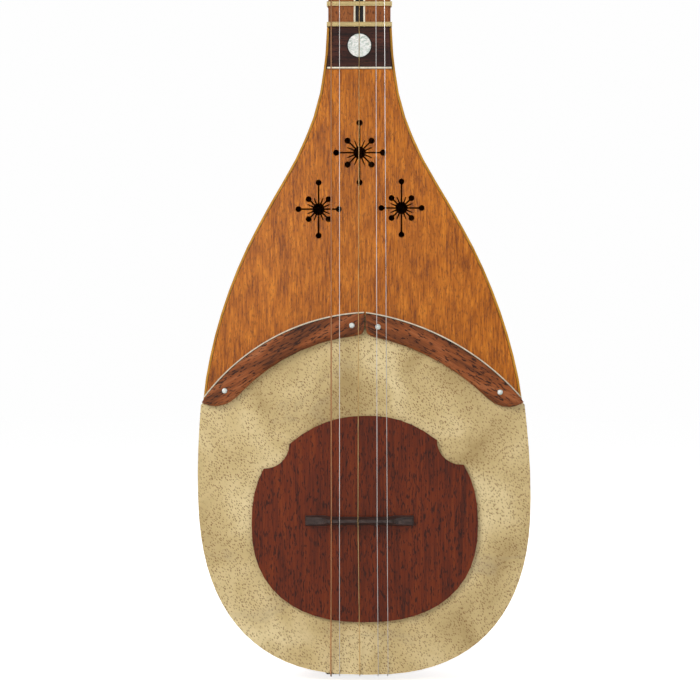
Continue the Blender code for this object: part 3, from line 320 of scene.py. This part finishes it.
def wound(name, pitch, low, high, roughness, metallic=0.0, depth=0.25 * MM):
    """Turns laid side by side up the Z axis, with painted highlight on the crests and painted
    shade in the valleys.
    """
    look = Look(name, roughness, metallic)
    waves = look.add("TexWave", wave_type="BANDS", bands_direction="Z", wave_profile="SIN")
    waves.inputs["Scale"].default_value = 2 * math.pi / pitch / WAVE_RATE
    waves.inputs["Distortion"].default_value = 0.4
    waves.inputs["Detail"].default_value = 2
    waves.inputs["Detail Scale"].default_value = 3
    look.link(look.place((1, 1, 1)), waves.inputs["Vector"])
    stain = look.noise(look.place((70, 70, 90)), detail=4, distortion=0.4)
    # Colour goes from low in the valleys to high on the crests: painted shade and painted
    # highlight on the turns
    body = look.ramp(waves.outputs["Fac"], [(0.05, low), (0.45, high)])
    tired = tuple(value * 0.6 for value in high)
    weight = look.math("MULTIPLY", look.fade(stain, low=0.45, high=0.7), 0.45)
    look.colour(look.mix(weight, body, tired))
    look.relief(waves.outputs["Fac"], depth, strength=0.8)
    return look.material


def wire(name, colour, roughness):
    """Plain drawn wire with faint marks along it."""
    look = Look(name, roughness, 1.0)
    marks = look.noise(look.place((900, 900, 60)))
    dull = tuple(value * 0.75 for value in colour)
    look.colour(look.ramp(marks, [(0.3, dull), (0.6, colour)]))
    look.rough(marks, low=roughness - 0.05, high=roughness + 0.12)
    return look.material


def bone_look(name, tone=(0.80, 0.73, 0.58)):
    """Bone or pale purfling wood with faint lengthwise streaks."""
    look = Look(name, 0.4, coat=0.2)
    streak = look.noise(look.place((500, 500, 120)), detail=4, distortion=0.5)
    dull = tuple(value * 0.78 for value in tone)
    look.colour(look.ramp(streak, [(0.35, dull), (0.6, tone)]))
    look.relief(streak, depth=0.05 * MM, strength=0.3)
    return look.material


def arch_wood(name, slant):
    """Open-pored rosewood whose grain slants along an arch strip."""
    return wood(name, (0.060, 0.017, 0.005), (0.255, 0.066, 0.014), (0.40, 0.135, 0.048), 0.44,
                turn=(0, slant, 0), across=1.3 * MM, along=24 * MM, pores=0.95,
                pore_length=3.5 * MM, coat=0.1, figure=0.65)


LOOKS = {
    "mulberry": wood("mulberry", (0.17, 0.055, 0.014), (0.30, 0.11, 0.03), (0.42, 0.18, 0.05),
                     0.33, across=2.2 * MM, along=70 * MM, pores=0.55, coat=0.35),
    "soundboard_wood": wood("soundboard_wood", (0.20, 0.047, 0.003), (0.44, 0.122, 0.006),
                            (0.64, 0.205, 0.014), 0.32, across=1.1 * MM, along=13 * MM,
                            pores=0.42, pore_length=2.4 * MM, coat=0.4, figure=0.35,
                            spread=0.13, depth=0.3 * MM),
    "edge_wood": wood("edge_wood", (0.36, 0.14, 0.010), (0.50, 0.23, 0.018), (0.62, 0.30, 0.035),
                      0.35, pores=0.15, coat=0.3),
    "lining_wood": wood("lining_wood", (0.40, 0.25, 0.12), (0.52, 0.35, 0.18), (0.60, 0.42, 0.24),
                        0.65, pores=0.3),
    "panel_rosewood": wood("panel_rosewood", (0.010, 0.004, 0.003), (0.036, 0.010, 0.006),
                           (0.090, 0.024, 0.012), 0.45, turn=ACROSS_GRAIN, across=1.1 * MM,
                           along=26 * MM, pores=0.8, coat=0.15),
    "arch_bass": arch_wood("arch_bass", -ARCH_GRAIN_SLANT),
    "arch_treble": arch_wood("arch_treble", ARCH_GRAIN_SLANT),
    "plate_wood": wood("plate_wood", (0.050, 0.007, 0.001), (0.130, 0.017, 0.001),
                       (0.200, 0.033, 0.003), 0.42, across=1.0 * MM, along=30 * MM, pores=0.8,
                       pore_length=3.5 * MM, coat=0.2),
    "bridge_wood": wood("bridge_wood", (0.016, 0.010, 0.009), (0.045, 0.028, 0.024),
                        (0.085, 0.055, 0.046), 0.42, turn=ACROSS_GRAIN, across=0.8 * MM,
                        along=14 * MM, coat=0.1),
    "neck_wood": wood("neck_wood", (0.030, 0.011, 0.007), (0.075, 0.024, 0.012),
                      (0.12, 0.042, 0.02), 0.35, along=60 * MM, coat=0.35),
    "fingerboard_wood": wood("fingerboard_wood", (0.16, 0.045, 0.012), (0.28, 0.085, 0.02),
                             (0.37, 0.125, 0.032), 0.38, across=1.2 * MM, along=45 * MM,
                             pores=0.7, coat=0.2),
    "ebony": wood("ebony", (0.004, 0.0035, 0.0035), (0.010, 0.008, 0.008), (0.022, 0.016, 0.014),
                  0.34, pores=0.3, coat=0.2),
    "peg_wood": wood("peg_wood", (0.022, 0.009, 0.006), (0.062, 0.021, 0.011),
                     (0.11, 0.038, 0.02), 0.32, turn=ACROSS_GRAIN, across=1.3 * MM, along=22 * MM,
                     coat=0.4),
    "skin": goat_skin(),
    "pearl": pearl_look(),
    "bone": bone_look("bone"),
    # Each string's first colour is painted shade in its turns' valleys, and its second is painted
    # highlight on their crests
    "gut": wound("gut", 0.85 * MM, (0.30, 0.19, 0.065), (0.76, 0.60, 0.28), 0.5),
    "wound_bronze": wound("wound_bronze", 0.42 * MM, (0.18, 0.06, 0.03), (0.86, 0.46, 0.24),
                          0.3, 1.0, 0.1 * MM),
    "brass": wire("brass", (0.78, 0.55, 0.25), 0.28),
    "steel": wire("steel", (0.62, 0.60, 0.58), 0.26),
}
OWN_LOOKS = ("arch_bass", "arch_treble")
PALE_LINE = bone_look("pale_line", (0.86, 0.78, 0.60))
DARK_LINE = LOOKS["ebony"]


def dress_nodes():
    """Gives every solid its material: its own where it has one, or else its slot's."""
    for row in frame["record"]["subparts"]:
        node = row["node"]
        made = frame["nodes"][node]
        made.data.materials.clear()
        made.data.materials.append(LOOKS[node if node in OWN_LOOKS else row["material_slot"]])


def piece(name, shape, look):
    """A new mesh piece that rides on the lute's body."""
    bmesh.ops.recalc_face_normals(shape, faces=shape.faces)
    mesh = bpy.data.meshes.new(name)
    shape.to_mesh(mesh)
    shape.free()
    mesh.shade_smooth()
    mesh.set_sharp_from_angle(angle=SHARP_EDGE)
    mesh.materials.append(look)
    made = bpy.data.objects.new(name, mesh)
    bpy.context.scene.collection.objects.link(made)
    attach(made, BODY)
    return made


def bar(name, low, high, look, rounding=0.15 * MM):
    """A thin let-in line between two corners, with its edges eased."""
    shape = bmesh.new()
    bmesh.ops.create_cube(shape, size=1)
    low, high = Vector(low), Vector(high)
    for vertex in shape.verts:
        vertex.co = (low + high) / 2 + vertex.co * (high - low)
    bmesh.ops.bevel(
        shape, geom=shape.edges[:], offset=rounding, segments=2, profile=0.5, affect="EDGES"
    )
    return piece(name, shape, look)


def ribbon(name, centre, radius, start, end, width, front, back, look, steps=48):
    """A curved line of this width outside an arc, between two depths."""
    shape = bmesh.new()
    rings = []
    for step in range(steps + 1):
        angle = start + (end - start) * step / steps
        ahead = (math.cos(angle), math.sin(angle))
        ring = []
        for reach, depth in ((0, back), (0, front), (width, front), (width, back)):
            across = centre[0] + (radius + reach) * ahead[0]
            up = centre[1] + (radius + reach) * ahead[1]
            ring.append(shape.verts.new((across, depth, up)))
        rings.append(ring)
    for ring, after in zip(rings, rings[1:]):
        for index in range(4):
            beside = (index + 1) % 4
            shape.faces.new((ring[index], ring[beside], after[beside], after[index]))
    shape.faces.new(rings[0])
    shape.faces.new(rings[-1])
    return piece(name, shape, look)


def ring_piece(name, centre, radius, thickness, look, steps=64):
    """A thin round line about a point of the face, with this section."""
    shape = bmesh.new()
    loops = []
    for step in range(steps):
        angle = 2 * math.pi * step / steps
        loop = []
        for reach, depth in PEARL_RING_SECTION:
            across = centre[0] + (radius + reach * thickness / 2) * math.cos(angle)
            up = centre[2] + (radius + reach * thickness / 2) * math.sin(angle)
            loop.append(shape.verts.new((across, centre[1] + depth * thickness / 2, up)))
        loops.append(loop)
    for index, loop in enumerate(loops):
        after = loops[(index + 1) % steps]
        for corner in range(4):
            beside = (corner + 1) % 4
            shape.faces.new((loop[corner], loop[beside], after[beside], after[corner]))
    return piece(name, shape, look)


def make_trim():
    """Pale and dark lines let into the neck, the panel and the arch's edge."""
    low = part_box("fingerboard_centre")[0]
    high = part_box("fingerboard_centre")[1]
    for side, name in ((-1, "bass"), (1, "treble")):
        inner, outer = sorted((side * INLAY_FROM, side * INLAY_TO))
        bar(
            f"inlay_{name}",
            (inner, INLAY_FRONT, low[2]),
            (outer, INLAY_BACK, high[2]),
            PALE_LINE,
        )
    bar(
        "panel_line",
        (-PANEL_SEAM_HALF_WIDTH, PANEL_SEAM_FRONT, PANEL_SEAM[0]),
        (PANEL_SEAM_HALF_WIDTH, PANEL_SEAM_BACK, PANEL_SEAM[1]),
        PALE_LINE,
    )
    ring_radius = PEARL_RADIUS + PEARL_RING_GROWTH
    # A dark ring round the pearl: its glue gap, and painted shade at the pearl's edge
    ring_piece("pearl_ring", (0, 0, PEARL_LEVEL), ring_radius, PEARL_RING_WIDTH, DARK_LINE)
    lines = (
        ("purfling_dark", DARK_PURFLING, DARK_LINE, "ebony"),
        ("purfling", PALE_PURFLING, PALE_LINE, "bone"),
    )
    for name, (centre, radius, start, end) in ARCHES.items():
        for line, (outside, width, front), look, slot in lines:
            ribbon(
                f"{line}_{name}", centre, radius + outside, start, end, width, front,
                PURFLING_BACK, look,
            )


def make_floor():
    """A pale floor just under the object; its glow whitens it for the camera alone."""
    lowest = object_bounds()[0][2]
    shape = bmesh.new()
    bmesh.ops.create_grid(shape, x_segments=1, y_segments=1, size=FLOOR_HALF_SIDE)
    mesh = bpy.data.meshes.new("floor")
    shape.to_mesh(mesh)
    shape.free()
    floor = bpy.data.objects.new("floor", mesh)
    floor.location = (0, 0, lowest - FLOOR_GAP)
    bpy.context.scene.collection.objects.link(floor)
    pale = Look("floor", FLOOR_ROUGHNESS)
    pale.shader.inputs["Base Color"].default_value = FLOOR_COLOUR
    pale.shader.inputs["Emission Color"].default_value = WHITE
    glow = pale.math("MULTIPLY", pale.add("LightPath").outputs["Is Camera Ray"], FLOOR_GLOW)
    pale.link(glow, pale.shader.inputs["Emission Strength"])
    mesh.materials.append(pale.material)


def make_world():
    """White surroundings that the camera sees, and a weaker even light from them."""
    world = bpy.data.worlds.new("studio")
    bpy.context.scene.world = world
    world.use_nodes = True
    tree = world.node_tree
    seen = tree.nodes["Background"]
    lighting = tree.nodes.new("ShaderNodeBackground")
    for background, strength in ((seen, BACKGROUND), (lighting, WORLD_LIGHT)):
        background.inputs["Color"].default_value = WHITE
        background.inputs["Strength"].default_value = strength
    rays = tree.nodes.new("ShaderNodeLightPath")
    chosen = tree.nodes.new("ShaderNodeMixShader")
    tree.links.new(rays.outputs["Is Camera Ray"], chosen.inputs["Fac"])
    tree.links.new(lighting.outputs["Background"], chosen.inputs[1])
    tree.links.new(seen.outputs["Background"], chosen.inputs[2])
    tree.links.new(chosen.outputs["Shader"], tree.nodes["World Output"].inputs["Surface"])


def make_lamps():
    """Soft square lamps turned towards the body."""
    for name, place_at, side, watts in LAMPS:
        light = bpy.data.lights.new(name, "AREA")
        light.size = side
        light.energy = watts
        lamp = bpy.data.objects.new(name, light)
        lamp.location = place_at
        towards = Vector(LAMP_AIM) - Vector(place_at)
        lamp.rotation_euler = towards.to_track_quat("-Z", "Y").to_euler()
        bpy.context.scene.collection.objects.link(lamp)


def make_camera():
    """The camera of the photograph: level, square to the face, on its frame's middle."""
    half = PHOTO_SIDE_PX / 2
    across = (half - PHOTO_MIDDLE_PX[0]) * PHOTO_SCALE
    up = -(half - PHOTO_MIDDLE_PX[1]) * PHOTO_SCALE
    data = bpy.data.cameras.new("camera")
    data.lens = LENS
    data.sensor_width = SENSOR
    data.clip_end = CLIP_END
    camera = bpy.data.objects.new("camera", data)
    distance = PHOTO_SIDE_PX * PHOTO_SCALE * LENS / SENSOR
    camera.location = (across, -distance, up)
    camera.rotation_euler = (math.pi / 2, 0, 0)
    bpy.context.scene.collection.objects.link(camera)
    bpy.context.scene.camera = camera
    bpy.context.scene.view_settings.view_transform = "Standard"


make_camera()
dress_nodes()
make_trim()
make_floor()
make_world()
make_lamps()
